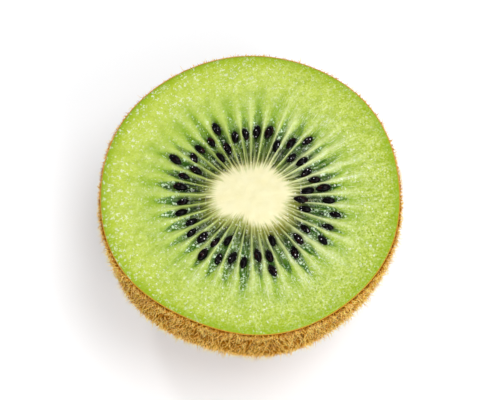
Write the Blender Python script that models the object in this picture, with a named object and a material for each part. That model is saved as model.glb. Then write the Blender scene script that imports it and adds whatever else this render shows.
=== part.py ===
"""Half of a kiwi fruit, cut across its waist and standing on its stem end, with the cut face up.

It is one solid: the rounded outer body with its small flat stem end, and the cut face with the oval core,
the ring of seed chambers between their thin walls, and the seeds that stand in them. Lengths are metres.
"""

import math
import random

import bmesh
import bpy
from mathutils import Matrix, Vector

# The body
FACE_RADIUS = 0.02595
BODY_DEPTH = 0.0330
DEPTH_CUT_OFF = 0.0005
SIDE_FULLNESS = 2.7
END_FULLNESS = 2.0
LEAN = Vector((-0.0015, 0.0))
LEAN_POWER = 1.5

# The fuzz on the skin, which the solid takes in as a layer; it is pressed flat where the fruit stands
FUZZ_LAYER = 0.0007
FUZZ_PRESSED_POWER = 6

# Unevenness of the cut's outline and of the side: (waves round the fruit, their height, phase in degrees)
OUTLINE_WAVES = ((2, 0.00011, 178), (3, 0.00020, 188), (4, 0.00012, 130), (5, 0.00009, 305), (6, 0.00013, 207))
SIDE_WAVES = ((4, 0.00012, 180), (6, 0.00020, 264))

# The core, an oval that is a little nearer one side
CORE_MIDDLE = Vector((0.0, -0.0010))
CORE_HALF_LENGTH = 0.0076
CORE_HALF_WIDTH = 0.0054
CORE_WAVES = ((3, 0.00030, 250), (5, 0.00022, 20), (7, 0.00016, 95))
CORE_RISE = 0.00025
CORE_FLATNESS = 4

# The seed chambers
CHAMBERS = 36
WALL_STRAY = 0.16
WALL_DRAW = 9
CHAMBER_DEPTH = 0.00055
CHAMBER_END = 0.0165
CHAMBER_END_STRAY = 0.0012
CHAMBER_FLATNESS = 0.7
CHAMBER_INNER_SLOPE = 0.0016
CHAMBER_OUTER_SLOPE = 0.0045
COLUMNS_PER_CHAMBER = 3

# The seeds
SEED_DRAW = 388977
SEED_LENGTH = 0.00245
SEED_WIDTH = 0.00130
SEED_THICKNESS = 0.00105
SEED_POINT = 0.55
SEED_SIZE_SPREAD = 0.12
SEED_TURN = math.radians(13)
SEED_STRAY = 0.14
NEAREST_SEED = (0.0083, 0.0128)
SEED_GAP = (0.0027, 0.0056)
FURTHEST_SEED = 0.0148
SEED_CLEARANCE = 0.0017
SUNK_SHARE = 0.25
SEED_HEIGHT = 0.00005
SUNK_HEIGHT = -0.00025
SEED_LEAST_SINK = 0.00025
SEED_SIDES, SEED_RINGS = 8, 6

# Where the lathed profile has its points, as shares of each stretch
CORE_STATIONS = (0.0, 0.35, 0.7, 0.93)
CHAMBER_STATIONS = (0.04, 0.16, 0.32, 0.5, 0.68, 0.84, 1.0)
FLESH_STATIONS = (0.25, 0.55, 0.8, 0.94)
RIM_STATIONS = 3
SIDE_STATIONS = 16

MERGE_DISTANCE = 1e-6
SHARP_ANGLE = math.radians(35)

# Each finish: (name, colour, roughness)
FLESH = ("wet kiwi flesh", (0.52, 0.66, 0.13, 1.0), 0.25)
CORE = ("kiwi core", (0.97, 0.93, 0.56, 1.0), 0.35)
SKIN = ("fuzzy kiwi skin", (0.43, 0.24, 0.07, 1.0), 0.9)
SEED = ("kiwi seed", (0.012, 0.006, 0.007, 1.0), 0.15)


def clear_scene():
    for thing in list(bpy.data.objects):
        bpy.data.objects.remove(thing)


def material(name, colour, roughness):
    made = bpy.data.materials.new(name)
    made.use_nodes = True
    shader = made.node_tree.nodes["Principled BSDF"]
    shader.inputs["Base Color"].default_value = colour
    shader.inputs["Roughness"].default_value = roughness
    shader.inputs["Metallic"].default_value = 0.0
    return made


def waves(angle, table):
    return sum(height * math.cos(count * angle - math.radians(phase)) for count, height, phase in table)


def smooth(share):
    share = min(1.0, max(0.0, share))
    return share * share * (3 - 2 * share)


def rim_radius(angle):
    return FACE_RADIUS + waves(angle, OUTLINE_WAVES)


def rim_point(angle):
    return rim_radius(angle) * Vector((math.cos(angle), math.sin(angle)))


def reach(angle):
    """Distance from the core's middle to the rim, on the ray that ends at this angle of the rim."""
    return (rim_point(angle) - CORE_MIDDLE).length


def on_ray(angle, distance):
    """The point of the cut at this distance from the core's middle, on that ray."""
    return CORE_MIDDLE + distance * (rim_point(angle) - CORE_MIDDLE).normalized()


def core_radius(angle):
    oval = math.hypot(math.cos(angle) / CORE_HALF_LENGTH, math.sin(angle) / CORE_HALF_WIDTH)
    return 1 / oval + waves(angle, CORE_WAVES)


def wall_angles():
    """The angles of the thin walls between the chambers, which stand a little unevenly."""
    draw = random.Random(WALL_DRAW)
    step = math.tau / CHAMBERS
    return [step * (n + WALL_STRAY * draw.uniform(-1, 1)) for n in range(CHAMBERS)]


def chamber_ends():
    """How far from the core's middle each chamber reaches."""
    draw = random.Random(WALL_DRAW + 1)
    return [CHAMBER_END + CHAMBER_END_STRAY * draw.uniform(-1, 1) for _ in range(CHAMBERS)]


WALLS = wall_angles()
ENDS = chamber_ends()


def angle_in(chamber, share):
    """The angle at this share of the way across a chamber, from its first wall to the next."""
    first = WALLS[chamber % CHAMBERS]
    last = WALLS[(chamber + 1) % CHAMBERS]
    return first + share * ((last - first) % math.tau)


def hollow(chamber, share, distance, core):
    """Depth of a chamber below the cut, deepest midway between its walls."""
    across = math.sin(math.pi * share) ** CHAMBER_FLATNESS
    starts = smooth((distance - core) / CHAMBER_INNER_SLOPE)
    ends = smooth((ENDS[chamber % CHAMBERS] - distance) / CHAMBER_OUTER_SLOPE)
    return CHAMBER_DEPTH * across * starts * ends


def face_height(chamber, share, distance, core):
    """Height of the cut above the plane of its rim: the core's low dome, then the chambers."""
    if distance < core:
        return CORE_RISE * (1 - (distance / core) ** CORE_FLATNESS)
    return -hollow(chamber, share, distance, core)


def seed_places():
    """The seeds, chamber by chamber and outwards: (place on the cut, height, heading of the seed, its size)."""
    draw = random.Random(SEED_DRAW)
    seeds = []
    for chamber in range(CHAMBERS):
        distance = draw.uniform(*NEAREST_SEED)
        while distance < FURTHEST_SEED:
            share = 0.5 + SEED_STRAY * draw.uniform(-1, 1)
            turn = draw.gauss(0, SEED_TURN)
            size = 1 + SEED_SIZE_SPREAD * draw.uniform(-1, 1)
            above = SUNK_HEIGHT if draw.random() < SUNK_SHARE else SEED_HEIGHT
            angle = angle_in(chamber, share)
            place = on_ray(angle, distance)
            if all((place - other[0]).length > SEED_CLEARANCE for other in seeds):
                sink = max(SEED_LEAST_SINK, hollow(chamber, share, distance, core_radius(angle)))
                seeds.append((place, above - sink, angle + turn, size))
            distance += draw.uniform(*SEED_GAP)
    return seeds


def body_radius(depth):
    """Radius of the body with its fuzz, at a share of its depth."""
    skin = FACE_RADIUS * (1 - depth**SIDE_FULLNESS) ** (1 / END_FULLNESS)
    return skin + FUZZ_LAYER * (1 - depth**FUZZ_PRESSED_POWER)


def profile():
    """The outline that is lathed, as (distance from the axis, height): core, chambers, flesh, rim, side, stem end."""
    middle = (CORE_HALF_LENGTH + CORE_HALF_WIDTH) / 2
    points = [(middle * share, 0.0) for share in CORE_STATIONS]
    points += [(middle + (CHAMBER_END - middle) * share, 0.0) for share in CHAMBER_STATIONS]
    points += [(CHAMBER_END + (FACE_RADIUS - CHAMBER_END) * share, 0.0) for share in (*FLESH_STATIONS, 1.0)]
    for n in range(1, RIM_STATIONS + 1):
        turn = n / RIM_STATIONS * math.pi / 2
        points.append((FACE_RADIUS + FUZZ_LAYER * math.sin(turn), -FUZZ_LAYER * (1 - math.cos(turn))))
    highest = FUZZ_LAYER / BODY_DEPTH
    lowest = 1 - DEPTH_CUT_OFF / BODY_DEPTH
    for n in range(1, SIDE_STATIONS + 1):
        depth = highest + (lowest - highest) * math.sin(n / SIDE_STATIONS * math.pi / 2)
        points.append((body_radius(depth), -BODY_DEPTH * depth))
    points.append((0.0, -BODY_DEPTH * lowest))
    return points


def lathe(points, columns):
    """A closed mesh: the profile spun round the Z axis."""
    mesh = bmesh.new()
    chain = [mesh.verts.new((x, 0.0, z)) for x, z in points]
    edges = [mesh.edges.new(pair) for pair in zip(chain, chain[1:])]
    bmesh.ops.spin(
        mesh,
        geom=chain + edges,
        axis=(0, 0, 1),
        cent=(0, 0, 0),
        angle=math.tau,
        steps=columns,
        use_merge=True,
    )
    bmesh.ops.remove_doubles(mesh, verts=mesh.verts, dist=MERGE_DISTANCE)
    bmesh.ops.recalc_face_normals(mesh, faces=mesh.faces)
    return mesh


def shape_face(vert, chamber, share):
    """Moves a lathed point of the cut to its true place."""
    middle = (CORE_HALF_LENGTH + CORE_HALF_WIDTH) / 2
    angle = angle_in(chamber, share)
    core = core_radius(angle)
    distance = vert.co.xy.length
    if distance <= middle:
        distance *= core / middle
    else:
        outer = reach(angle) / FACE_RADIUS
        distance = core + (distance - middle) * (FACE_RADIUS * outer - core) / (FACE_RADIUS - middle)
    place = on_ray(angle, distance)
    vert.co = Vector((place.x, place.y, face_height(chamber, share, distance, core)))


def shape_side(vert, angle):
    """Gives a lathed point of the side the outline's unevenness, low lumps and the body's lean."""
    depth = -vert.co.z / BODY_DEPTH
    outline = 1 + (rim_radius(angle) / FACE_RADIUS - 1) * (1 - depth)
    radius = vert.co.xy.length
    if radius > 0:
        radius = radius * outline + waves(angle, SIDE_WAVES) * math.sin(math.pi * depth)
    vert.co.xy = radius * Vector((math.cos(angle), math.sin(angle))) + LEAN * depth**LEAN_POWER


def finish_of(face):
    """Which finish a face of the body has: flesh 0, core 1, skin 2."""
    middle = face.calc_center_median()
    if middle.z < -CHAMBER_DEPTH or middle.xy.length > FACE_RADIUS:
        return 2
    offset = middle.xy - CORE_MIDDLE
    return int(offset.length < core_radius(math.atan2(offset.y, offset.x)))


def build_body():
    columns = CHAMBERS * COLUMNS_PER_CHAMBER
    mesh = lathe(profile(), columns)
    for vert in mesh.verts:
        column = round((math.atan2(vert.co.y, vert.co.x) % math.tau) / math.tau * columns) % columns
        chamber, part = divmod(column, COLUMNS_PER_CHAMBER)
        share = part / COLUMNS_PER_CHAMBER
        if vert.co.z == 0.0:
            shape_face(vert, chamber, share)
        else:
            shape_side(vert, angle_in(chamber, share))
    mesh.normal_update()
    for face in mesh.faces:
        face.material_index = finish_of(face)
    data = bpy.data.meshes.new("kiwi_half")
    mesh.to_mesh(data)
    mesh.free()
    for finish in (FLESH, CORE, SKIN):
        data.materials.append(material(*finish))
    body = bpy.data.objects.new("kiwi_half", data)
    bpy.context.scene.collection.objects.link(body)
    return body


def seed_mesh():
    """A seed lying along X, its point towards -X, a flattened ovoid."""
    mesh = bmesh.new()
    turned = Matrix.Rotation(math.pi / 2, 4, "Y")
    bmesh.ops.create_uvsphere(mesh, u_segments=SEED_SIDES, v_segments=SEED_RINGS, radius=0.5, matrix=turned)
    for vert in mesh.verts:
        towards_point = max(0.0, -vert.co.x / 0.5)
        narrow = 1 - SEED_POINT * towards_point**2
        vert.co.x *= SEED_LENGTH
        vert.co.y *= SEED_WIDTH * narrow
        vert.co.z *= SEED_THICKNESS * narrow
    data = bpy.data.meshes.new("seed")
    mesh.to_mesh(data)
    mesh.free()
    data.materials.append(material(*SEED))
    return data


def build_seeds():
    """Every seed that stands out, as objects in one collection."""
    seeds = bpy.data.collections.new("seeds")
    bpy.context.scene.collection.children.link(seeds)
    shape = seed_mesh()
    for place, height, heading, size in seed_places():
        seed = bpy.data.objects.new("seed", shape)
        seed.location = (place.x, place.y, height)
        seed.rotation_euler.z = heading
        seed.scale = (size, size, size)
        seeds.objects.link(seed)
    return seeds


def fuse(body, seeds):
    """Joins the seeds to the body with one Boolean union, applies it and removes them."""
    union = body.modifiers.new("seeds", "BOOLEAN")
    union.operation = "UNION"
    union.operand_type = "COLLECTION"
    union.collection = seeds
    union.solver = "EXACT"
    union.material_mode = "TRANSFER"
    bpy.context.view_layer.objects.active = body
    bpy.ops.object.modifier_apply(modifier=union.name)
    for seed in list(seeds.objects):
        bpy.data.objects.remove(seed)
    bpy.data.collections.remove(seeds)


def stand_on_origin(body):
    """Puts the middle of the body's box over the origin and its flat end on the ground."""
    corners = [vert.co for vert in body.data.vertices]
    lowest = Vector([min(corner[axis] for corner in corners) for axis in range(3)])
    highest = Vector([max(corner[axis] for corner in corners) for axis in range(3)])
    middle = (lowest + highest) / 2
    body.data.transform(Matrix.Translation((-middle.x, -middle.y, -lowest.z)))


def main():
    clear_scene()
    body = build_body()
    fuse(body, build_seeds())
    stand_on_origin(body)
    body.data.shade_smooth()
    body.data.set_sharp_from_angle(angle=SHARP_ANGLE)


main()
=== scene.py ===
"""Half of a kiwi fruit, cut side up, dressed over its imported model.

The cut flesh, the seeds that stand in it, the thin skin and its fuzz are separate pieces, which together
replace the one solid of the model. Lengths are metres, and named sizes are the fruit's own.
"""

import math
import random
from types import SimpleNamespace

import bpy
import numpy as np
from mathutils import Matrix, Vector


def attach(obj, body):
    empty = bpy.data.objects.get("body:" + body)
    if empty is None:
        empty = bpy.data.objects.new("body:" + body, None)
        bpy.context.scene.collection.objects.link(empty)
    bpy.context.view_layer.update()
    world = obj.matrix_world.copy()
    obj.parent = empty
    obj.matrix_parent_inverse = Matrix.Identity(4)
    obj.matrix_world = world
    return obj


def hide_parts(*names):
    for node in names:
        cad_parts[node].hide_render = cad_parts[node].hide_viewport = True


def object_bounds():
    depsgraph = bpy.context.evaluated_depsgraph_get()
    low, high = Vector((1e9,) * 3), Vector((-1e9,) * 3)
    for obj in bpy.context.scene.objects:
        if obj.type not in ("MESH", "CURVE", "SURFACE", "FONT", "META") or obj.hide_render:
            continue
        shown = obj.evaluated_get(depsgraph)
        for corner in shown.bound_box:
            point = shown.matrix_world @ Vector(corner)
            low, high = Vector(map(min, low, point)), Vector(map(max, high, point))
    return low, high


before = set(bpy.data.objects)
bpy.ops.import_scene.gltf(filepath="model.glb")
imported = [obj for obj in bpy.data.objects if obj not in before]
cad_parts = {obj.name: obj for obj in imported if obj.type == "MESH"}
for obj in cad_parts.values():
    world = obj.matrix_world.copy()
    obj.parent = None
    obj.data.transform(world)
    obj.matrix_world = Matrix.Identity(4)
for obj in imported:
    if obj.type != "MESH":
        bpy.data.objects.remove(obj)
cad_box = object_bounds()

MM = 0.001

# The body
FACE_RADIUS = 25.95 * MM
BODY_DEPTH = 33.0 * MM
DEPTH_CUT_OFF = 0.5 * MM
FACE_HEIGHT = BODY_DEPTH - DEPTH_CUT_OFF
SIDE_FULLNESS = 2.7
END_FULLNESS = 2.0
LEAN = (-1.5 * MM, 0.0)
LEAN_POWER = 1.5
FUZZ_LAYER = 0.7 * MM
SKIN_THICKNESS = 0.15 * MM
FOOT_GAP = 0.18 * MM
LOWEST = 1 - DEPTH_CUT_OFF / BODY_DEPTH
FLESH_RADIUS = FACE_RADIUS - SKIN_THICKNESS

# Unevenness of the cut's outline and of the side: (waves round the fruit, their height, phase in degrees)
OUTLINE_WAVES = (
    (2, 0.11 * MM, 178),
    (3, 0.20 * MM, 188),
    (4, 0.12 * MM, 130),
    (5, 0.09 * MM, 305),
    (6, 0.13 * MM, 207),
)
SIDE_WAVES = ((4, 0.12 * MM, 180), (6, 0.20 * MM, 264))

# The core
CORE_MIDDLE = (0.0, -1.0 * MM)
CORE_HALF_LENGTH = 7.6 * MM
CORE_HALF_WIDTH = 5.4 * MM
CORE_MEAN = (CORE_HALF_LENGTH + CORE_HALF_WIDTH) / 2
CORE_WAVES = ((3, 0.30 * MM, 250), (5, 0.22 * MM, 20), (7, 0.16 * MM, 95))
CORE_RISE = 0.25 * MM
CORE_FLATNESS = 4
CREAM_WAVES = ((1, 0.40 * MM, 39), (2, 0.30 * MM, 203), (3, 0.30 * MM, 160), (4, 0.20 * MM, 117))
CREAM_INSET = 0.40 * MM

# The seed chambers
CHAMBERS = 36
WALL_STRAY = 0.16
WALL_DRAW = 9
CHAMBER_DEPTH = 0.55 * MM
CHAMBER_END = 16.5 * MM
CHAMBER_END_STRAY = 1.2 * MM
CHAMBER_FLATNESS = 0.7
CHAMBER_INNER_SLOPE = 1.6 * MM
CHAMBER_OUTER_SLOPE = 4.5 * MM

# The seeds
SEED_DRAW = 388977
SEED_LENGTH = 2.45 * MM
SEED_WIDTH = 1.30 * MM
SEED_THICKNESS = 1.05 * MM
SEED_POINT = 0.55
SEED_SIZE_SPREAD = 0.12
SEED_TURN = math.radians(13)
SEED_STRAY = 0.14
NEAREST_SEED = (8.3 * MM, 12.8 * MM)
SEED_GAP = (2.7 * MM, 5.6 * MM)
FURTHEST_SEED = 14.8 * MM
SEED_CLEARANCE = 1.7 * MM
SUNK_SHARE = 0.25
SEED_HEIGHT = 0.05 * MM
SUNK_HEIGHT = -0.25 * MM
SEED_LEAST_SINK = 0.25 * MM
SEED_LEAN, SEED_ROLL = math.radians(7), math.radians(22)
PIT_HALF_LENGTH = 1.15 * SEED_LENGTH / 2
PIT_HALF_WIDTH = 1.25 * SEED_WIDTH / 2

# How finely the pieces are meshed
COLUMNS_PER_CHAMBER = 20
CORE_RINGS, CHAMBER_RINGS, FLESH_RINGS, UNDER_RINGS = 14, 54, 26, 14
SKIN_COLUMNS, SKIN_RINGS = 480, 44
SEED_SIDES, SEED_RINGS = 28, 16

# Distances that count as none, and the small step in depth and angle that finds a direction
MERGE_DISTANCE = 0.001 * MM
NO_DISTANCE = 0.0001 * MM
SMALL_STEP = 1e-4

# How the kinds of flesh lie on the cut, from the core outwards
PLAN_DRAW = 21
PIT_DEPTH = 0.22 * MM
WALL_RISE = 0.10 * MM
WALL_HALF_WIDTH = 0.14 * MM
WALL_SPREAD = 0.030
WALL_SPREADS_FROM = 7.5 * MM
WALL_FADES_FROM = 14 * MM
WALL_FADES_BY = (19 * MM, 23.5 * MM)
LINES_START = (-0.5 * MM, 0.5 * MM)
CORE_SPIKE = 0.75 * MM
CORE_SPIKE_HALF_WIDTH = 0.20 * MM
CORE_THREAD = 0.7 * MM
CORE_FADE = (-1.0 * MM, 0.7 * MM)
CHAMBER_CLOSES_FROM = 12.6 * MM
CHAMBER_SHIFTS = (-1.4 * MM, 1.0 * MM)
CHAMBER_TIP = 0.8 * MM
GEL_START = (-0.6 * MM, 0.6 * MM)
TONGUE_START = (0.0, 3 * MM)
TONGUE_HALF_WIDTH = 0.30
TONGUE_FADE = (16 * MM, 21.5 * MM)
STAINS_PER_CHAMBER = 1.1
STAIN_DISTANCES = (9 * MM, 14.5 * MM)
STAIN_STRAY = 0.15
STAIN_HALF_LENGTHS = (0.7 * MM, 1.3 * MM)
STAIN_HALF_WIDTHS = (0.25 * MM, 0.50 * MM)
RIM_BAND = 1.9 * MM
PAINTED_GLINT_BAND = (18.5 * MM, 22 * MM)
BEYOND_SPAN = 12 * MM
RELIEF_HEIGHT = 0.035 * MM
RELIEF_LENGTHS = (1.2 * MM, 3.5 * MM)
RELIEF_EDGE = 2 * MM
RELIEF_WAVES, RELIEF_DRAW = 40, 3

# Woven unevenness in layers: height, cells round the fruit, length of a cell, number of its draw
WALL_SWAYS = ((0.10, 72, 3.0 * MM, 31), (0.05, 144, 1.0 * MM, 32))
WALL_RAGS = ((0.45, 144, 0.8 * MM, 33),)
CORE_JAGS = ((0.45 * MM, 216, 1.5 * MM, 34), (0.30 * MM, 90, 2.0 * MM, 35))
GEL_PATCHES = ((0.25, 72, 1.3 * MM, 36),)
RIM_PATCHES = ((0.2, 7, 9 * MM, 37),)

# Sides of the cut that look different, as headings from the fruit's middle
# The side of the rim where large glints are painted
PAINTED_GLINT_SIDE = math.radians(160)
GRAINY_SIDE = math.radians(-30)
DEEP_SIDE = math.radians(-75)
PALE_SIDE = math.radians(20)

# Threads in each chamber: place across it, stray, half width, shortest and longest run, faintest
THREADS = (
    (0.50, 0.12, 0.125 * MM, 2.6 * MM, 6.5 * MM, 0.75),
    (0.26, 0.06, 0.080 * MM, 1.0 * MM, 3.0 * MM, 0.20),
    (0.75, 0.06, 0.080 * MM, 1.0 * MM, 3.0 * MM, 0.20),
)

# The skin's shell laps over the flesh a little, and its inner edge lies lower than its outer one
SHELL_THICKNESS = 1.4 * SKIN_THICKNESS
EDGE_SLOPE = 0.12 * MM

# Each kind of hair: how many, shortest and longest, half width, least and most lift, how golden, its draw
FUZZ_KINDS = {
    "under_fuzz": (12000, 0.5 * MM, 0.9 * MM, 0.060 * MM, 0.2, 0.9, 0.10, 5),
    "golden_fuzz": (14000, 0.8 * MM, 1.25 * MM, 0.060 * MM, 0.2, 0.8, 0.55, 6),
    "long_fuzz": (6500, 1.2 * MM, 2.1 * MM, 0.045 * MM, 0.35, 1.3, 1.00, 7),
}
HAIR_POINTS = 7
HAIR_ROOT = 0.06 * MM
SHADE_SPREAD = 0.60
BOX_MARGIN = 0.10 * MM
ABOVE_CUT = 0.25 * MM

# Where the hairs are fewer, shorter or more; depths here are shares of the body's depth
HAIRY_SPAN = (0.004, 0.9999)
RUBBED_DEPTH = 0.045
RUBBED_SHARE = 0.6
SHORT_NEAR_CUT = 0.08
BY_THE_CUT_SHARE = 0.10
BY_THE_CUT = (0.002, 0.05)

# Sizes of the cut's patterns, chosen by how the photograph looks and not measured on a fruit
CELL = 0.36 * MM
GRAIN = 0.32 * MM
PITH = 0.15 * MM
CLUSTER = 1.3 * MM
MOTTLE = 2.2 * MM
PATCH = 6.0 * MM
CHAMBER_GLINT = 0.60 * MM
DROP_GLINT = 0.50 * MM
SMALL_FLECK = 0.58 * MM
LARGE_FLECK = 0.80 * MM
TORN, TORN_SHIFT = 0.35 * MM, 0.90 * MM
RAGGED, RAGGED_SHIFT = 0.45 * MM, 1.8 * MM
FIBRES_ROUND = 38
WISPS_ROUND = 105
FIBRE_DRAW_OUT = 0.17

# Sizes of the patterns on the seeds and the skin, chosen in the same way
SEED_BLUSH = 0.8 * MM
SEED_PITTING = 0.18 * MM
SEED_GLINT = 0.55 * MM
SKIN_PATCH = 3.5 * MM
SKIN_GRAIN = 0.5 * MM

# Colours in order outwards, each at its place from 0 to 1 of the whole cut, or of the span beyond the core
FLESH_RUN = (
    (0.30, "#9db353"), (0.50, "#a8c246"), (0.62, "#b6cd4c"),
    (0.76, "#c1d55a"), (0.88, "#bbcf4c"), (0.97, "#a8be10"),
)
CHAMBER_RUN = (
    (0.0, "#8e8220"), (0.09, "#56560e"), (0.18, "#182a05"), (0.32, "#0e2203"), (0.44, "#1c3a04"),
    (0.54, "#3a5e08"), (0.64, "#5c880c"), (0.76, "#86aa14"), (0.92, "#98ba20"),
)
LINE_RUN = (
    (0.0, "#f4ecac"), (0.10, "#eae6a0"), (0.20, "#c4cf78"),
    (0.35, "#acc262"), (0.60, "#c6dc74"), (0.85, "#cee07a"),
)

# The camera, with the pixel of the photograph where the middle of the cut lies
CAMERA_ELEVATION = math.radians(66.5)
CAMERA_DISTANCE = 0.330
CAMERA_LENS = 138.8
FACE_MIDDLE_PIXEL = (251.0, 190.7)
PICTURE_WIDTH, PICTURE_HEIGHT, SENSOR_WIDTH = 500, 400, 36.0

# The studio, with white walls that are higher in front and brighter on the right, and a dim ceiling
WALL_GLOW = 1.34
CEILING_GLOW = 0.20
WALL_TOP = (0.25, 0.55)
FRONT_RISE = 0.52
RIGHT_GLOW = 0.16
FLOOR_SIZE = 6.0
LIGHT_DISTANCE = 2.0

# Each light's azimuth, elevation and half width in degrees, and its share of full white on white paper
LIGHTS = {
    "main": (344, 71, 13, 0.31),
    "low": (296, 34, 12, 0.17),
    "behind": (46, 66, 15, 0.17),
    "sparkle": (128, 58, 4, 0.10),
}


def linear(code):
    """A colour from its sRGB hex code to linear light, as the shaders take it."""
    parts = [int(code[n : n + 2], 16) / 255 for n in (1, 3, 5)]
    return (*(part / 12.92 if part <= 0.04045 else ((part + 0.055) / 1.055) ** 2.4 for part in parts), 1.0)


def waves(angle, table):
    return sum(height * np.cos(count * angle - math.radians(phase)) for count, height, phase in table)


def smooth(share):
    share = np.clip(share, 0.0, 1.0)
    return share * share * (3 - 2 * share)


def rim_radius(angle):
    return FACE_RADIUS + waves(angle, OUTLINE_WAVES)


def body_axis():
    """Where the body's axis stands, with the box round the fuzz centred on the origin."""
    angle = np.linspace(0, math.tau, 3600)
    radius = rim_radius(angle) + FUZZ_LAYER
    x, y = radius * np.cos(angle), radius * np.sin(angle)
    return -(x.max() + x.min()) / 2, -(y.max() + y.min()) / 2


AXIS = body_axis()


def ray(angle):
    """From the core's middle to the rim at this angle of the rim: the ray's length and its direction."""
    x = rim_radius(angle) * np.cos(angle) - CORE_MIDDLE[0]
    y = rim_radius(angle) * np.sin(angle) - CORE_MIDDLE[1]
    length = np.hypot(x, y)
    return length, x / length, y / length


def core_radius(angle):
    oval = np.hypot(np.cos(angle) / CORE_HALF_LENGTH, np.sin(angle) / CORE_HALF_WIDTH)
    return 1 / oval + waves(angle, CORE_WAVES)


def wall_angles():
    """The angles of the thin walls between the chambers, which stand a little unevenly."""
    draw = random.Random(WALL_DRAW)
    step = math.tau / CHAMBERS
    return np.array([step * (n + WALL_STRAY * draw.uniform(-1, 1)) for n in range(CHAMBERS)])


def chamber_ends():
    """How far from the core's middle each chamber reaches."""
    draw = random.Random(WALL_DRAW + 1)
    return np.array([CHAMBER_END + CHAMBER_END_STRAY * draw.uniform(-1, 1) for _ in range(CHAMBERS)])


WALLS = wall_angles()
WIDTHS = (np.roll(WALLS, -1) - WALLS) % math.tau
ENDS = chamber_ends()


def angle_in(chamber, share):
    """The angle at this share of the way across a chamber, from its first wall to the next."""
    return WALLS[chamber] + share * WIDTHS[chamber]


def hollow(chamber, share, distance, core):
    """Depth of a chamber below the cut, deepest midway between its walls."""
    across = np.sin(math.pi * np.clip(share, 0, 1)) ** CHAMBER_FLATNESS
    starts = smooth((distance - core) / CHAMBER_INNER_SLOPE)
    ends = smooth((ENDS[chamber] - distance) / CHAMBER_OUTER_SLOPE)
    return CHAMBER_DEPTH * across * starts * ends


def seed_places():
    """The seeds, chamber by chamber and outwards: x, y, height on the cut, heading and size of each."""
    draw = random.Random(SEED_DRAW)
    seeds = []
    for chamber in range(CHAMBERS):
        distance = draw.uniform(*NEAREST_SEED)
        while distance < FURTHEST_SEED:
            share = 0.5 + SEED_STRAY * draw.uniform(-1, 1)
            turn = draw.gauss(0, SEED_TURN)
            size = 1 + SEED_SIZE_SPREAD * draw.uniform(-1, 1)
            above = SUNK_HEIGHT if draw.random() < SUNK_SHARE else SEED_HEIGHT
            angle = angle_in(chamber, share)
            _, along_x, along_y = ray(angle)
            place = (CORE_MIDDLE[0] + distance * along_x, CORE_MIDDLE[1] + distance * along_y)
            if all(math.dist(place, other[:2]) > SEED_CLEARANCE for other in seeds):
                sink = max(SEED_LEAST_SINK, float(hollow(chamber, share, distance, core_radius(angle))))
                seeds.append((*place, above - sink, angle + turn, size))
            distance += draw.uniform(*SEED_GAP)
    return seeds


SEEDS = seed_places()


def deselect():
    bpy.ops.object.select_all(action="DESELECT")


def activate(piece):
    deselect()
    piece.select_set(True)
    bpy.context.view_layer.objects.active = piece


def places_of(mesh):
    flat = np.empty(len(mesh.vertices) * 3)
    mesh.vertices.foreach_get("co", flat)
    return flat.reshape(-1, 3)


def move_to(mesh, places):
    mesh.vertices.foreach_set("co", np.asarray(places, dtype=np.float32).ravel())
    mesh.update()


def give(mesh, name, values):
    """Stores a number or a vector at each vertex, for the material to read."""
    values = np.asarray(values, dtype=np.float32)
    if values.ndim == 2:
        mesh.attributes.new(name, "FLOAT_VECTOR", "POINT").data.foreach_set("vector", values.ravel())
    else:
        mesh.attributes.new(name, "FLOAT", "POINT").data.foreach_set("value", values)


def lathe(name, profile, columns):
    """The profile turned round the Z axis, with its doubles merged and its faces turned outwards."""
    mesh = bpy.data.meshes.new(name)
    mesh.from_pydata([(x, 0.0, z) for x, z in profile], [(n, n + 1) for n in range(len(profile) - 1)], [])
    piece = bpy.data.objects.new(name, mesh)
    bpy.context.scene.collection.objects.link(piece)
    activate(piece)
    turn = piece.modifiers.new("turn", "SCREW")
    turn.axis = "Z"
    turn.angle = math.tau
    turn.steps = turn.render_steps = columns
    turn.use_merge_vertices = True
    turn.merge_threshold = MERGE_DISTANCE
    bpy.ops.object.modifier_apply(modifier=turn.name)
    bpy.ops.object.mode_set(mode="EDIT")
    bpy.ops.mesh.select_all(action="SELECT")
    bpy.ops.mesh.remove_doubles(threshold=MERGE_DISTANCE)
    bpy.ops.mesh.normals_make_consistent(inside=False)
    bpy.ops.object.mode_set(mode="OBJECT")
    bpy.ops.object.shade_smooth()
    return piece


def column_of(places, columns):
    angle = np.arctan2(places[:, 1], places[:, 0]) % math.tau
    return np.rint(angle / math.tau * columns).astype(int) % columns


def skin_radius(depth):
    """Radius of the skin's outer surface, at a share of the body's depth."""
    return FACE_RADIUS * (1 - np.clip(depth, 0, 1) ** SIDE_FULLNESS) ** (1 / END_FULLNESS)


def side_place(depth, angle, inset=0.0):
    """A point of the skin, or inset below it, at a share of the body's depth and an angle."""
    outline = 1 + (rim_radius(angle) / FACE_RADIUS - 1) * (1 - depth)
    radius = skin_radius(depth) * outline + waves(angle, SIDE_WAVES) * np.sin(math.pi * depth) - inset
    x = AXIS[0] + radius * np.cos(angle) + LEAN[0] * depth**LEAN_POWER
    y = AXIS[1] + radius * np.sin(angle) + LEAN[1] * depth**LEAN_POWER
    return np.stack([x, y, FACE_HEIGHT - BODY_DEPTH * depth], axis=-1)


def woven(angle, distance, cells_round, cell_length, draw_number):
    """Smooth noise from -1 to 1 that joins up round the fruit, in cells drawn out along the fibres."""
    rows = int(1.2 * FACE_RADIUS / cell_length) + 3
    table = np.random.default_rng(draw_number).uniform(-1, 1, (cells_round, rows))
    across = angle / math.tau * cells_round % cells_round
    along = np.clip(distance / cell_length, 0, rows - 2)
    column, row = across.astype(int) % cells_round, along.astype(int)
    beside = (column + 1) % cells_round
    a, b = smooth(across % 1), smooth(along % 1)
    near = table[column, row] * (1 - a) + table[beside, row] * a
    far = table[column, row + 1] * (1 - a) + table[beside, row + 1] * a
    return near * (1 - b) + far * b


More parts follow.
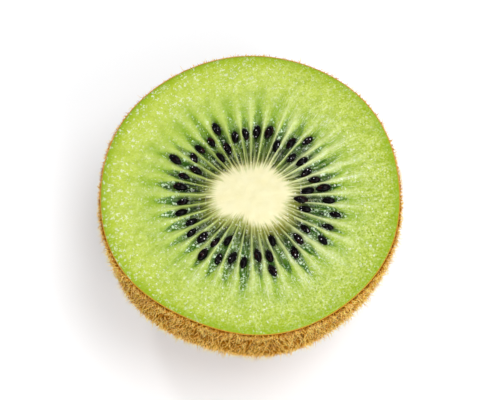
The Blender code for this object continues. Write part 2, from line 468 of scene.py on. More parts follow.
def low_bumps(places, height, lengths, count, draw_number):
    """Soft unevenness: a sum of plane waves in drawn directions, with lengths between the two given."""
    draw = np.random.default_rng(draw_number)
    total = np.zeros(len(places))
    for _ in range(count):
        heading = draw.uniform(0, math.tau)
        length = draw.uniform(*lengths)
        along = places[:, 0] * math.cos(heading) + places[:, 1] * math.sin(heading)
        total += np.sin(along * math.tau / length + draw.uniform(0, math.tau))
    return height * total / math.sqrt(count)


def flesh_profile():
    """Half of the flesh's outline: out over the cut, and from the rim down round the underside."""
    top = [CORE_MEAN * n / CORE_RINGS for n in range(CORE_RINGS)]
    top += [CORE_MEAN + (CHAMBER_END - CORE_MEAN) * n / CHAMBER_RINGS for n in range(CHAMBER_RINGS)]
    top += [CHAMBER_END + (FLESH_RADIUS - CHAMBER_END) * n / FLESH_RINGS for n in range(FLESH_RINGS + 1)]
    profile = [(radius, 0.0) for radius in top]
    for n in range(1, UNDER_RINGS + 1):
        depth = LOWEST * math.sin(n / UNDER_RINGS * math.pi / 2)
        profile.append((FLESH_RADIUS * float(skin_radius(depth)) / FACE_RADIUS, -BODY_DEPTH * depth))
    profile.append((0.0, -BODY_DEPTH * LOWEST))
    return profile


def build_flesh():
    """The cut flesh as one closed body: its face in fine relief, and a plain underside inside the skin."""
    columns = CHAMBERS * COLUMNS_PER_CHAMBER
    flesh = lathe("cut_flesh", flesh_profile(), columns)

    lathed = places_of(flesh.data)
    column = column_of(lathed, columns)
    chamber = column // COLUMNS_PER_CHAMBER
    share = column % COLUMNS_PER_CHAMBER / COLUMNS_PER_CHAMBER
    angle = angle_in(chamber, share)
    radius = np.hypot(lathed[:, 0], lathed[:, 1])
    on_face = lathed[:, 2] > -NO_DISTANCE

    length, along_x, along_y = ray(angle)
    reach = length - SKIN_THICKNESS
    core = core_radius(angle)
    distance = np.where(
        radius <= CORE_MEAN,
        radius * core / CORE_MEAN,
        core + (radius - CORE_MEAN) * (reach - core) / (FLESH_RADIUS - CORE_MEAN),
    )
    face = np.stack([CORE_MIDDLE[0] + distance * along_x, CORE_MIDDLE[1] + distance * along_y], axis=-1)
    plan = chamber_plan(face, chamber, share, angle, distance, reach)
    dome = CORE_RISE * (1 - np.clip(distance / core, 0, 1) ** CORE_FLATNESS)
    relief = dome - hollow(chamber, share, distance, core) - plan["pit"] * PIT_DEPTH
    relief += plan["wall"] * WALL_RISE * smooth((distance - core) / CHAMBER_INNER_SLOPE)
    off_edge = smooth((reach - distance) / RELIEF_EDGE)
    relief += off_edge * low_bumps(face, RELIEF_HEIGHT, RELIEF_LENGTHS, RELIEF_WAVES, RELIEF_DRAW)

    # Below the cut the flesh fills the skin, down to the spot that the fruit stands on
    depth = np.clip(-lathed[:, 2] / BODY_DEPTH, 0, 1)
    under = side_place(depth, angle, SKIN_THICKNESS)
    under[radius < NO_DISTANCE] = (AXIS[0] + LEAN[0], AXIS[1] + LEAN[1], 0.0)
    under[:, 2] = np.maximum(under[:, 2], FOOT_GAP + SKIN_THICKNESS)
    cut = np.stack([face[:, 0] + AXIS[0], face[:, 1] + AXIS[1], FACE_HEIGHT + relief], axis=-1)
    move_to(flesh.data, np.where(on_face[:, None], cut, under))
    for name, values in plan.items():
        give(flesh.data, name, np.where(on_face, values, 0.0))
    give(flesh.data, "fibre", np.stack([along_x, along_y, distance / FACE_RADIUS], axis=-1))
    give(flesh.data, "outward", np.where(on_face, distance / reach, 1.0))
    return flesh


def line(gap, half_width):
    """A soft line, 1 along its middle."""
    return np.exp(-((gap / half_width) ** 2))


def rise(value, start, end):
    """0 up to the start, 1 from the end on, and smooth between them."""
    return smooth((value - start) / (end - start))


def towards(angle, side):
    """1 on the named side of the cut, falling to 0 on the opposite side."""
    return 0.5 + 0.5 * np.cos(angle - side)


def uneven(angle, distance, layers):
    """Woven noise in layers, each with its height and its cells."""
    return sum(height * woven(angle, distance, *cells) for height, *cells in layers)


def chamber_plan(face, chamber, share, angle, distance, reach):
    """How strongly each kind of flesh shows at each point of the cut, from 0 to 1."""
    draw = np.random.default_rng(PLAN_DRAW)
    spike = draw.uniform(0.3, 1.0, CHAMBERS)
    strength = draw.uniform(0.70, 1.0, CHAMBERS)
    breadth = draw.uniform(0.55, 1.55, CHAMBERS)
    tint = draw.uniform(0.80, 1.0, CHAMBERS)
    shift = draw.uniform(*CHAMBER_SHIFTS, CHAMBERS)
    fill = draw.uniform(0.40, 0.49, CHAMBERS)
    fade_out = draw.uniform(*WALL_FADES_BY, CHAMBERS)
    beyond = distance - core_radius(angle) - waves(angle, CREAM_WAVES) + CREAM_INSET
    pitch = WIDTHS[chamber] * distance
    lines_start = rise(beyond, *LINES_START)

    # The walls sway a little on their way out and widen until they are lost in the outer flesh
    across = np.clip(share + uneven(angle, distance, WALL_SWAYS) * np.sin(math.pi * share), 0, 1)
    nearest = np.where(across < 0.5, chamber, (chamber + 1) % CHAMBERS)
    wall_gap = np.minimum(across, 1 - across) * pitch
    spread = WALL_SPREAD * np.clip(distance - WALL_SPREADS_FROM, 0, None)
    ragged = 1 + uneven(angle, distance, WALL_RAGS)
    wall_half = (WALL_HALF_WIDTH + spread) * breadth[nearest] * ragged
    fades = 1 - rise(distance, WALL_FADES_FROM, fade_out[nearest])
    wall = line(wall_gap, wall_half) * strength[nearest] * fades * lines_start

    thread = threads_between(draw, chamber, across, pitch, beyond) * lines_start

    # The core's edge is drawn out along the walls and the threads
    jag = uneven(angle, distance, CORE_JAGS) + CORE_THREAD * thread
    jag += CORE_SPIKE * spike[nearest] * line(wall_gap, CORE_SPIKE_HALF_WIDTH)
    core_part = 1 - rise(beyond - jag, *CORE_FADE)

    # Each chamber is full as far as the seeds, then closes to a point, and a soft tongue runs on from there
    last = ENDS[chamber] + shift[chamber] + CHAMBER_TIP
    closes = np.clip((distance - CHAMBER_CLOSES_FROM) / (last - CHAMBER_CLOSES_FROM), 0, 1)
    half = fill[chamber] * (1 - closes) ** 0.8
    inside = smooth((half - np.abs(across - 0.5)) / 0.12 + 0.4) * (1 - closes**6)
    patchy = 1.05 + uneven(angle, distance, GEL_PATCHES)
    gel = inside * rise(beyond, *GEL_START) * tint[chamber] * patchy
    tongue = line(across - 0.5, TONGUE_HALF_WIDTH) * rise(beyond, *TONGUE_START)
    tongue *= 1 - rise(distance - shift[chamber], *TONGUE_FADE)

    rim = (1 - rise(reach - distance, 0, RIM_BAND)) * (0.8 + uneven(angle, distance, RIM_PATCHES))
    return {
        "core": core_part,
        "wall": wall,
        "thread": thread,
        "chamber": np.clip(gel, 0, 1),
        "tongue": tongue,
        "stain": sunk_seeds(draw, face),
        "pit": pits_round_seeds(face),
        "rim": rim,
        "grainy": towards(angle, GRAINY_SIDE),
        "pale": towards(angle, PALE_SIDE),
        "deep": towards(angle, DEEP_SIDE),
        "glassy": rise(distance, *PAINTED_GLINT_BAND) * towards(angle, PAINTED_GLINT_SIDE),
        "beyond": np.clip(beyond / BEYOND_SPAN, 0, 1),
    }


def threads_between(draw, chamber, across, pitch, beyond):
    """Pale threads, finer than the walls, that run out between them from the core and fade."""
    thread = np.zeros(len(across))
    for side, stray, half_width, shortest, longest, faintest in THREADS:
        where = side + stray * draw.uniform(-1, 1, CHAMBERS)
        runs = draw.uniform(shortest, longest, CHAMBERS)
        shows = draw.uniform(faintest, 1.0, CHAMBERS)
        one = line((across - where[chamber]) * pitch, half_width) * shows[chamber]
        thread = np.maximum(thread, one * (1 - smooth(beyond / runs[chamber])))
    return thread


def sunk_seeds(draw, face):
    """Blurred stains where seeds lie below the cut."""
    stain = np.zeros(len(face))
    for number in range(CHAMBERS):
        for _ in range(draw.poisson(STAINS_PER_CHAMBER)):
            distance = draw.uniform(*STAIN_DISTANCES)
            angle = angle_in(number, 0.5 + draw.uniform(-STAIN_STRAY, STAIN_STRAY))
            _, along_x, along_y = ray(angle)
            x, y = CORE_MIDDLE[0] + distance * along_x, CORE_MIDDLE[1] + distance * along_y
            half_length, half_width = draw.uniform(*STAIN_HALF_LENGTHS), draw.uniform(*STAIN_HALF_WIDTHS)
            spot = blot(face, x, y, angle, half_length, half_width)
            stain = np.maximum(stain, spot * draw.uniform(0.5, 1.0))
    return stain


def pits_round_seeds(face):
    """Where the flesh dips round the seeds that stand in it, and where shade is painted round them."""
    pit = np.zeros(len(face))
    for x, y, _, heading, size in SEEDS:
        pit = np.maximum(pit, blot(face, x, y, heading, PIT_HALF_LENGTH * size, PIT_HALF_WIDTH * size))
    return pit


def blot(face, x, y, heading, half_length, half_width):
    """A soft oval spot on the cut, 1 at its middle."""
    dx, dy = face[:, 0] - x, face[:, 1] - y
    along = dx * math.cos(heading) + dy * math.sin(heading)
    aside = dy * math.cos(heading) - dx * math.sin(heading)
    return np.exp(-((along / half_length) ** 2 + (aside / half_width) ** 2) ** 1.5)


def build_seeds():
    """One seed, a flattened drop with its point towards the core, copied to each place and joined."""
    deselect()
    bpy.ops.mesh.primitive_uv_sphere_add(segments=SEED_SIDES, ring_count=SEED_RINGS, radius=0.5)
    first = bpy.context.active_object
    bpy.ops.object.shade_smooth()
    first.data.transform(Matrix.Rotation(math.pi / 2, 4, "Y"))
    drop = places_of(first.data)
    towards_point = np.clip(-drop[:, 0] / 0.5, 0, 1)
    narrow = 1 - SEED_POINT * towards_point**2
    drop[:, 0] *= SEED_LENGTH
    drop[:, 1] *= SEED_WIDTH * narrow
    drop[:, 2] *= SEED_THICKNESS * narrow
    move_to(first.data, drop)
    draw = random.Random(SEED_DRAW)
    copies = []
    for x, y, height, heading, size in SEEDS:
        copy = bpy.data.objects.new("seed", first.data.copy())
        bpy.context.scene.collection.objects.link(copy)
        place = Matrix.Translation((x + AXIS[0], y + AXIS[1], FACE_HEIGHT + height))
        lean = Matrix.Rotation(SEED_LEAN * draw.uniform(-1, 1), 4, "Y")
        roll = Matrix.Rotation(SEED_ROLL * draw.uniform(-1, 1), 4, "X")
        copy.data.transform(place @ Matrix.Rotation(heading, 4, "Z") @ lean @ roll @ Matrix.Scale(size, 4))
        give(copy.data, "tint", np.full(len(copy.data.vertices), draw.random()))
        copies.append(copy)
    bpy.data.objects.remove(first)
    deselect()
    for copy in copies:
        copy.select_set(True)
    bpy.context.view_layer.objects.active = copies[0]
    bpy.ops.object.join()
    seeds = bpy.context.active_object
    seeds.name = "seeds"
    seeds.data.name = "seeds"
    return seeds


def build_skin():
    """The thin skin as a closed shell, with the narrow edge that the knife left."""
    depths = [LOWEST * math.sin(n / SKIN_RINGS * math.pi / 2) for n in range(SKIN_RINGS + 1)]
    outer = [(float(skin_radius(depth)), -BODY_DEPTH * depth) for depth in depths]
    outer.append((0.0, -BODY_DEPTH * LOWEST))
    inner = [(max(0.0, x - SHELL_THICKNESS), z - EDGE_SLOPE) for x, z in reversed(outer)]
    skin = lathe("fruit_skin", outer + inner + outer[:1], SKIN_COLUMNS)
    lathed = places_of(skin.data)
    column = column_of(lathed, SKIN_COLUMNS)
    angle = column / SKIN_COLUMNS * math.tau
    radius = np.hypot(lathed[:, 0], lathed[:, 1])
    depth_out = np.clip(-lathed[:, 2] / BODY_DEPTH, 0, 1)
    depth_in = np.clip(-(lathed[:, 2] + EDGE_SLOPE) / BODY_DEPTH, 0, 1)
    is_inner = radius < skin_radius(depth_out) - 0.3 * SKIN_THICKNESS
    depth = np.where(is_inner, depth_in, depth_out)
    places = side_place(depth, angle, np.where(is_inner, SHELL_THICKNESS, 0.0))
    at_pole = radius < NO_DISTANCE
    places[at_pole, 0] = AXIS[0] + LEAN[0]
    places[at_pole, 1] = AXIS[1] + LEAN[1]
    places[:, 2] -= np.where(is_inner, EDGE_SLOPE, 0.0)
    places[:, 2] = np.maximum(places[:, 2], FOOT_GAP + np.where(is_inner, SKIN_THICKNESS, 0.0))
    move_to(skin.data, places)
    give(skin.data, "down", depth)
    return skin


def build_fuzz(name, kind):
    """Hairs over the whole skin, each a three-sided tapering blade that bends once, closed at its root."""
    count, shortest, longest, half_width, least_lift, most_lift, gold, draw_number = kind
    draw = np.random.default_rng(draw_number)
    depth, angle = scattered_over_skin(draw, count)
    count = len(depth)
    root, normal, round_it, down_it = skin_directions(depth, angle)

    # Hairs lie down the side in swirls, and more at random by the cut
    near_cut = 1 - smooth(depth / SHORT_NEAR_CUT)
    swirl = 1.9 * woven(angle, depth * BODY_DEPTH, 64, 2.0 * MM, draw_number)
    swirl += draw.normal(0, 1, count) * (0.7 + 1.2 * near_cut)
    lie = unit(down_it * np.cos(swirl)[:, None] + round_it * np.sin(swirl)[:, None])
    lift = (draw.uniform(least_lift, most_lift, count) + 0.5 * near_cut)[:, None]
    first = unit(normal * lift + lie)
    bend = draw.normal(0, 0.5, (count, 3))
    second = unit(first + bend + normal * 0.15)
    length = draw.uniform(shortest, longest, count)[:, None]
    length *= 1 - (near_cut * (0.05 + 0.25 * far_side(angle)))[:, None]
    halfway = root + first * length * 0.5
    tip = halfway + second * length * 0.5
    root = root - normal * HAIR_ROOT
    halfway, tip = within_box(halfway), within_box(tip)

    width = half_width * draw.uniform(0.75, 1.25, count)[:, None]
    side_a = unit(np.cross(first, draw.normal(0, 1, (count, 3))))
    side_b = np.cross(first, side_a)
    rings = []
    for middle, share in ((root, 1.0), (halfway, 0.8)):
        for corner in range(3):
            turn = corner * math.tau / 3
            rings.append(middle + width * share * (math.cos(turn) * side_a + math.sin(turn) * side_b))
    places = np.stack([*rings, tip], axis=1).reshape(-1, 3)
    mesh = bpy.data.meshes.new(name)
    mesh.from_pydata(places.tolist(), [], blade_faces(count))
    piece = bpy.data.objects.new(name, mesh)
    bpy.context.scene.collection.objects.link(piece)
    shade = np.clip(gold + draw.normal(0, SHADE_SPREAD, count), 0, 1)
    give(mesh, "shade", np.repeat(shade, HAIR_POINTS))
    give(mesh, "along", np.tile([0, 0, 0, 0.5, 0.5, 0.5, 1.0], count))
    activate(piece)
    bpy.ops.object.shade_smooth()
    return piece


def unit(vectors):
    return vectors / np.maximum(np.linalg.norm(vectors, axis=-1, keepdims=True), 1e-12)


def skin_directions(depth, angle):
    """Points of the skin, with the directions out of it, round it and down it."""
    root = side_place(depth, angle)
    round_it = side_place(depth, angle + SMALL_STEP) - root
    down_it = side_place(np.clip(depth + SMALL_STEP, 0, 1), angle) - root
    root[:, 2] = np.maximum(root[:, 2], FOOT_GAP)
    normal = unit(np.cross(round_it, down_it))
    outward = root - np.array([AXIS[0], AXIS[1], FACE_HEIGHT / 2])
    normal *= np.sign((normal * outward).sum(axis=1))[:, None]
    return root, normal, unit(round_it), unit(down_it)


def blade_faces(count):
    """Faces of all the hairs: a root cap, three sides in one quad each, and three faces to the tip."""
    faces = []
    for hair in range(count):
        a = hair * HAIR_POINTS
        faces.append((a, a + 2, a + 1))
        faces.append((a, a + 1, a + 4, a + 3))
        faces.append((a + 1, a + 2, a + 5, a + 4))
        faces.append((a + 2, a, a + 3, a + 5))
        faces.append((a + 3, a + 4, a + 6))
        faces.append((a + 4, a + 5, a + 6))
        faces.append((a + 5, a + 3, a + 6))
    return faces


def far_side(angle):
    """1 on the side away from the viewer, 0 on the near side."""
    return smooth(0.5 + 2 * np.sin(angle))


def scattered_over_skin(draw, count):
    """Depths and angles of places on the skin: more by the cut, and fewer where its far side is rubbed."""
    edges = np.linspace(*HAIRY_SPAN, 2000)
    radius = skin_radius(edges)
    drop = np.diff(edges) * BODY_DEPTH
    strip = np.hypot(drop, np.diff(radius)) * (radius[1:] + radius[:-1])
    total = np.concatenate([[0], np.cumsum(strip)])
    depth = np.interp(draw.uniform(0, total[-1], count), total, edges)
    by_the_cut = draw.random(count) < BY_THE_CUT_SHARE
    depth = np.where(by_the_cut, draw.uniform(*BY_THE_CUT, count), depth)
    angle = draw.uniform(0, math.tau, count)
    rubbed = smooth(1.5 - depth / RUBBED_DEPTH) * far_side(angle)
    kept = draw.random(count) > RUBBED_SHARE * rubbed
    return depth[kept], angle[kept]


def within_box(places):
    """Brings hairs back inside the model's box, and lets them rise only a little above the cut."""
    lowest, highest = (np.array(corner) for corner in cad_box)
    highest = highest - BOX_MARGIN
    highest[2] = FACE_HEIGHT + ABOVE_CUT
    return np.clip(places, lowest + BOX_MARGIN, highest)


def add_node(tree, kind, inputs=None, **settings):
    """A shader node with its settings; each input is given a value, or a link from an output socket."""
    made = tree.nodes.new(kind)
    for name, value in settings.items():
        setattr(made, name, value)
    for name, value in (inputs or {}).items():
        if isinstance(value, bpy.types.NodeSocket):
            tree.links.new(value, made.inputs[name])
        else:
            made.inputs[name].default_value = value
    return made


def product(tree, first, *others):
    """All the factors multiplied. One as (socket, low, high) grows from 0 at low to 1 at high."""
    total = None
    for factor in (first, *others):
        if isinstance(factor, tuple):
            value, low, high = factor
            stretch = {"Value": value, "From Min": low, "From Max": high}
            factor = add_node(tree, "ShaderNodeMapRange", stretch, clamp=True).outputs["Result"]
        if total is None:
            total = factor
        else:
            total = add_node(tree, "ShaderNodeMath", {0: total, 1: factor}, operation="MULTIPLY").outputs[0]
    return total


def laid(tree, under, over, *shares, how="MIX"):
    """One colour laid over another by the product of the shares. A colour is a hex code or a socket."""
    under, over = (linear(colour) if isinstance(colour, str) else colour for colour in (under, over))
    inputs = {0: product(tree, *shares), 6: under, 7: over}
    return add_node(tree, "ShaderNodeMix", inputs, data_type="RGBA", blend_type=how).outputs[2]


def run_through(tree, value, stops):
    """A colour that runs through the stops as the value grows. Each stop is its place and a hex code."""
    (place, colour), *later = stops
    for next_place, code in later:
        colour = laid(tree, colour, code, (value, place, next_place))
        place = next_place
    return colour


def new_material(name, settings):
    """A material, with what is the same all over its surface set on the shader."""
    made = bpy.data.materials.new(name)
    made.use_nodes = True
    shader = made.node_tree.nodes["Principled BSDF"]
    for socket, value in settings.items():
        shader.inputs[socket].default_value = value
    return made, made.node_tree, shader


def kinds_of_flesh(tree):
    """What the cut's points hold on the kinds of flesh, as sockets."""
    names = ("core", "wall", "thread", "chamber", "tongue", "stain", "pit", "rim")
    names += ("glassy", "grainy", "pale", "deep", "beyond", "outward")
    nodes = {name: add_node(tree, "ShaderNodeAttribute", attribute_name=name) for name in names}
    return SimpleNamespace(**{name: node.outputs["Fac"] for name, node in nodes.items()})


def cut_patterns(tree):
    """The patterns that the cut's colours and relief are drawn from, as sockets."""
    spot = add_node(tree, "ShaderNodeTexCoord").outputs["Object"]
    fibre = add_node(tree, "ShaderNodeAttribute", attribute_name="fibre").outputs["Vector"]
    inputs = {"Vector": fibre, "Scale": (1, 1, FIBRE_DRAW_OUT)}
    fibre = add_node(tree, "ShaderNodeMapping", inputs).outputs["Vector"]
    noises = {
        "streaks": (fibre, FIBRES_ROUND, 3, 0.6),
        "wisps": (fibre, WISPS_ROUND, 2, 0.5),
        "grain": (spot, 1 / GRAIN, 3, 0.6),
        "mottle": (spot, 1 / MOTTLE, 3, 0.6),
        "patch": (spot, 1 / PATCH, 3, 0.6),
        "cluster": (spot, 1 / CLUSTER, 1, 0.5),
        "pith": (spot, 1 / PITH, 2, 0.5),
    }
    made = {}
    for name, (place, scale, detail, roughness) in noises.items():
        inputs = {"Vector": place, "Scale": scale, "Detail": detail, "Roughness": roughness}
        made[name] = add_node(tree, "ShaderNodeTexNoise", inputs).outputs["Fac"]

    # Places pulled about at random, so that flecks drawn on them are ragged
    for name, size, shift in (("torn", TORN, TORN_SHIFT), ("ragged", RAGGED, RAGGED_SHIFT)):
        pull = add_node(tree, "ShaderNodeTexNoise", {"Vector": spot, "Scale": 1 / size, "Detail": 2})
        inputs = {0: pull.outputs["Color"], 1: (shift,) * 3, 2: spot}
        pulled = add_node(tree, "ShaderNodeVectorMath", inputs, operation="MULTIPLY_ADD")
        made[name] = pulled.outputs["Vector"]
    cells = {"Vector": spot, "Scale": 1 / CELL, "Randomness": 1.0}
    made["cells"] = add_node(tree, "ShaderNodeTexVoronoi", cells, feature="SMOOTH_F1").outputs["Distance"]
    return SimpleNamespace(**made)


def flecks(tree, spot, cell, largest, rare):
    """Small specks on the cut, one to a cell at most, of drawn sizes up to a share of the cell."""
    inputs = {"Vector": spot, "Scale": 1 / cell, "Randomness": 0.95}
    cells = add_node(tree, "ShaderNodeTexVoronoi", inputs, voronoi_dimensions="2D")
    drawn = add_node(tree, "ShaderNodeSeparateColor", {"Color": cells.outputs["Color"]}).outputs["Red"]
    inputs = {0: product(tree, largest, (drawn, rare, 1.0)), 1: cells.outputs["Distance"]}
    inside = add_node(tree, "ShaderNodeMath", inputs, operation="SUBTRACT").outputs[0]
    return product(tree, (inside, 0.0, 0.35 * largest))


def outer_flesh(tree, cut, marks):
    """Flesh from the seeds to the rim: grainy, with faint fibres, and greener beyond each chamber."""
    inputs = {0: cut.grainy, 1: 0.55, 2: 0.40}
    coarse = add_node(tree, "ShaderNodeMath", inputs, operation="MULTIPLY_ADD").outputs[0]
    colour = run_through(tree, cut.outward, FLESH_RUN)
    colour = laid(tree, colour, "#cfdc84", 0.5, (marks.streaks, 0.45, 0.72))
    colour = laid(tree, colour, "#7e9c16", coarse, (marks.grain, 0.50, 0.28))
    colour = laid(tree, colour, "#e6eeaa", coarse, (marks.grain, 0.52, 0.72))
    colour = laid(tree, colour, "#98b42c", 0.55, (marks.mottle, 0.52, 0.32))
    # Lighter yellow-green on the upper left rim, where large glints are painted
    colour = laid(tree, colour, "#d8e45c", 0.22, cut.glassy)
    return laid(tree, colour, "#7ba610", 0.70, cut.tongue)


def chamber_gel(tree, cut, marks):
    """The gel in the chambers: dark and clear, olive at the core and a bright green at the outer ends."""
    inputs = {0: cut.deep, 1: 0.55, 2: 0.35}
    deep = add_node(tree, "ShaderNodeMath", inputs, operation="MULTIPLY_ADD").outputs[0]
    outer_half = product(tree, deep, (cut.beyond, 0.28, 0.50))
    colour = run_through(tree, cut.beyond, CHAMBER_RUN)
    colour = laid(tree, colour, "#5c7a24", 0.34, (cut.pale, 0.45, 1.0))
    colour = laid(tree, colour, "#245e0c", outer_half)
    colour = laid(tree, colour, "#153f08", 0.85, outer_half, (marks.grain, 0.52, 0.36))
    colour = laid(tree, colour, "#90ac44", 0.60, (marks.streaks, 0.50, 0.66))
    colour = laid(tree, colour, "#060e02", 0.8, (marks.streaks, 0.48, 0.36), (cut.beyond, 0.60, 0.30))
    return laid(tree, colour, "#8c8628", 0.85, (cut.beyond, 0.26, 0.06), (cut.deep, 0.35, 1.0))


def walls_and_wisps(tree, cut, marks, colour, torn_and_glint_side):
    """Pale walls and threads over the gel, torn fibres near and right, and an olive ring at the core."""
    pale = run_through(tree, cut.beyond, LINE_RUN)
    pale = laid(tree, pale, "#e0eaac", 0.55, cut.deep)
    pale = laid(tree, pale, "#e8eeb8", 0.6, (cut.pale, 0.5, 1.0))
    pale = laid(tree, pale, "#9cb440", 0.45, (cut.pale, 0.55, 0.05))
    colour = laid(tree, colour, pale, cut.thread)
    colour = laid(tree, colour, pale, 0.92, cut.wall)
    inputs = {0: cut.chamber, 1: -0.75, 2: 1.0}
    fewer = add_node(tree, "ShaderNodeMath", inputs, operation="MULTIPLY_ADD").outputs[0]
    where = product(tree, fewer, (torn_and_glint_side, 0.55, 1.0), (cut.beyond, 0.12, 0.34), (cut.outward, 0.86, 0.70))
    colour = laid(tree, colour, "#f0f6d4", 0.75, where, (marks.wisps, 0.58, 0.70))
    return laid(tree, colour, "#868a26", 0.50, (cut.beyond, 0.22, 0.06), (cut.deep, 0.45, 1.0))


def painted_wet_glints(tree, cut, marks, colour, torn_and_glint_side):
    """Painted glints: pale flecks for light caught by drops and torn gel, in clusters, in the chambers and on
    walls near and right.
    """
    inputs = {0: cut.chamber, 1: product(tree, 0.9, cut.wall, torn_and_glint_side)}
    glint_places = add_node(tree, "ShaderNodeMath", inputs, operation="MAXIMUM").outputs[0]
    inputs = {0: cut.deep, 1: 0.14, 2: marks.cluster}
    crowd = add_node(tree, "ShaderNodeMath", inputs, operation="MULTIPLY_ADD").outputs[0]
    glints = flecks(tree, marks.torn, CHAMBER_GLINT, 0.46, 0.02)
    glints = product(tree, glints, glint_places, (cut.beyond, 0.20, 0.50), (crowd, 0.44, 0.56))
    drop_glints = flecks(tree, marks.torn, DROP_GLINT, 0.30, 0.30)
    drop_glints = product(tree, drop_glints, cut.chamber, (cut.beyond, 0.10, 0.30), (marks.cluster, 0.42, 0.56))
    wet = add_node(tree, "ShaderNodeMath", {0: glints, 1: drop_glints}, operation="MAXIMUM").outputs[0]
    # The pale mint flecks laid in the colour here are painted glints.
    return laid(tree, colour, "#dcf6cc", 0.95, wet)


def crystals_and_painted_glints(tree, cut, marks, colour):
    """Pale specks in patches, partly crystals and torn cell walls and partly painted glints, but not on the
    core or on the grainy side's rim.
    """
    inputs = {0: cut.deep, 1: 0.22, 2: 0.56}
    amount = add_node(tree, "ShaderNodeMath", inputs, operation="MULTIPLY_ADD").outputs[0]
    small = flecks(tree, marks.torn, SMALL_FLECK, 0.30, 0.30)
    small = product(tree, small, amount, (marks.patch, 0.30, 0.56))
    inputs = {0: cut.glassy, 1: product(tree, 0.35, (marks.patch, 0.62, 0.42))}
    glassy = add_node(tree, "ShaderNodeMath", inputs, operation="MAXIMUM").outputs[0]
    large = product(tree, 0.66, glassy, flecks(tree, marks.ragged, LARGE_FLECK, 0.36, 0.02))
    specks = add_node(tree, "ShaderNodeMath", {0: small, 1: large}, operation="MAXIMUM").outputs[0]
    grainy_rim = product(tree, cut.rim, cut.grainy)
    # Near-white specks laid in the colour: partly pale crystals, partly painted glints.
    return laid(tree, colour, "#f7fbe9", specks, (grainy_rim, 1.0, 0.0), (cut.core, 1.0, 0.0))


def wet_flesh():
    """Fresh kiwi flesh cut with a knife: juicy cells under a wet film, with many small glints, partly painted
    in the colour.
    """
    settings = {
        "Roughness": 0.45,
        "Specular IOR Level": 0.08,
        "IOR": 1.34,
        "Subsurface Weight": 0.04,
        "Subsurface Radius": (1.0, 1.0, 0.3),
        "Subsurface Scale": 0.5 * MM,
        "Coat Weight": 0.42,
        "Coat Roughness": 0.08,
        "Coat IOR": 1.34,
    }
    made, tree, shader = new_material("fresh cut kiwi flesh", settings)
    cut, marks = kinds_of_flesh(tree), cut_patterns(tree)
    torn_and_glint_side = add_node(tree, "ShaderNodeMath", {0: cut.deep, 1: cut.pale}, operation="MAXIMUM").outputs[0]

    # Colours are laid one over another: flesh, gel, sunk seeds, painted shade round the seeds, walls, painted
    # glints, core, rim, and crystals with painted glints
    colour = laid(tree, outer_flesh(tree, cut, marks), chamber_gel(tree, cut, marks), cut.chamber)
    colour = laid(tree, colour, "#081504", 0.97, cut.stain)
    # Painted shade: the flesh is darkened in the dips round the standing seeds.
    colour = laid(tree, colour, "#0e1d06", 0.93, cut.pit)
    colour = walls_and_wisps(tree, cut, marks, colour, torn_and_glint_side)
    colour = painted_wet_glints(tree, cut, marks, colour, torn_and_glint_side)
    core_colour = laid(tree, "#f8f2c6", "#f4ecba", (marks.mottle, 0.35, 0.7))
    colour = laid(tree, colour, core_colour, cut.core)
    colour = laid(tree, colour, "#8eb000", 0.92, cut.rim)
    colour = crystals_and_painted_glints(tree, cut, marks, colour)
    tree.links.new(laid(tree, colour, "#e6e6e6", 1.0, how="MULTIPLY"), shader.inputs["Base Color"])

    # Cells and fibres stand up a little all over the cut, and a finer pith on the core
    inputs = {0: marks.streaks, 1: 0.5, 2: marks.cells}
    height = add_node(tree, "ShaderNodeMath", inputs, operation="MULTIPLY_ADD").outputs[0]
    inputs = {0: marks.pith, 1: cut.core, 2: product(tree, height, (cut.core, 1.0, 0.0))}
    height = add_node(tree, "ShaderNodeMath", inputs, operation="MULTIPLY_ADD").outputs[0]
    bump = add_node(tree, "ShaderNodeBump", {"Height": height, "Strength": 0.42, "Distance": 0.11 * MM})
    tree.links.new(bump.outputs["Normal"], shader.inputs["Normal"])
    tree.links.new(bump.outputs["Normal"], shader.inputs["Coat Normal"])
    return made


def wet_seed():
    """Ripe kiwi seeds: a hard coat, nearly black with a red cast, pitted and wet, with sharp glints, some
    painted as pale flecks.
    """
    settings = {"Roughness": 0.10, "IOR": 1.33, "Specular IOR Level": 0.16}
    made, tree, shader = new_material("wet black kiwi seed", settings)
    spot = add_node(tree, "ShaderNodeTexCoord").outputs["Object"]
    tint = add_node(tree, "ShaderNodeAttribute", attribute_name="tint").outputs["Fac"]
    inputs = {"Vector": spot, "Scale": 1 / SEED_BLUSH, "Detail": 3}
    blush = add_node(tree, "ShaderNodeTexNoise", inputs).outputs["Fac"]
    colour = laid(tree, "#030102", "#2a0a08", tint, (blush, 0.54, 0.72))
    # Pale flecks laid in the seed's colour are painted glints.
    colour = laid(tree, colour, "#f0eef2", 0.9, flecks(tree, spot, SEED_GLINT, 0.22, 0.62))
    tree.links.new(colour, shader.inputs["Base Color"])
    inputs = {"Vector": spot, "Scale": 1 / SEED_PITTING}
    pits = add_node(tree, "ShaderNodeTexVoronoi", inputs, feature="SMOOTH_F1").outputs["Distance"]
    bump = add_node(tree, "ShaderNodeBump", {"Height": pits, "Strength": 0.45, "Distance": 0.05 * MM})
    tree.links.new(bump.outputs["Normal"], shader.inputs["Normal"])
    return made


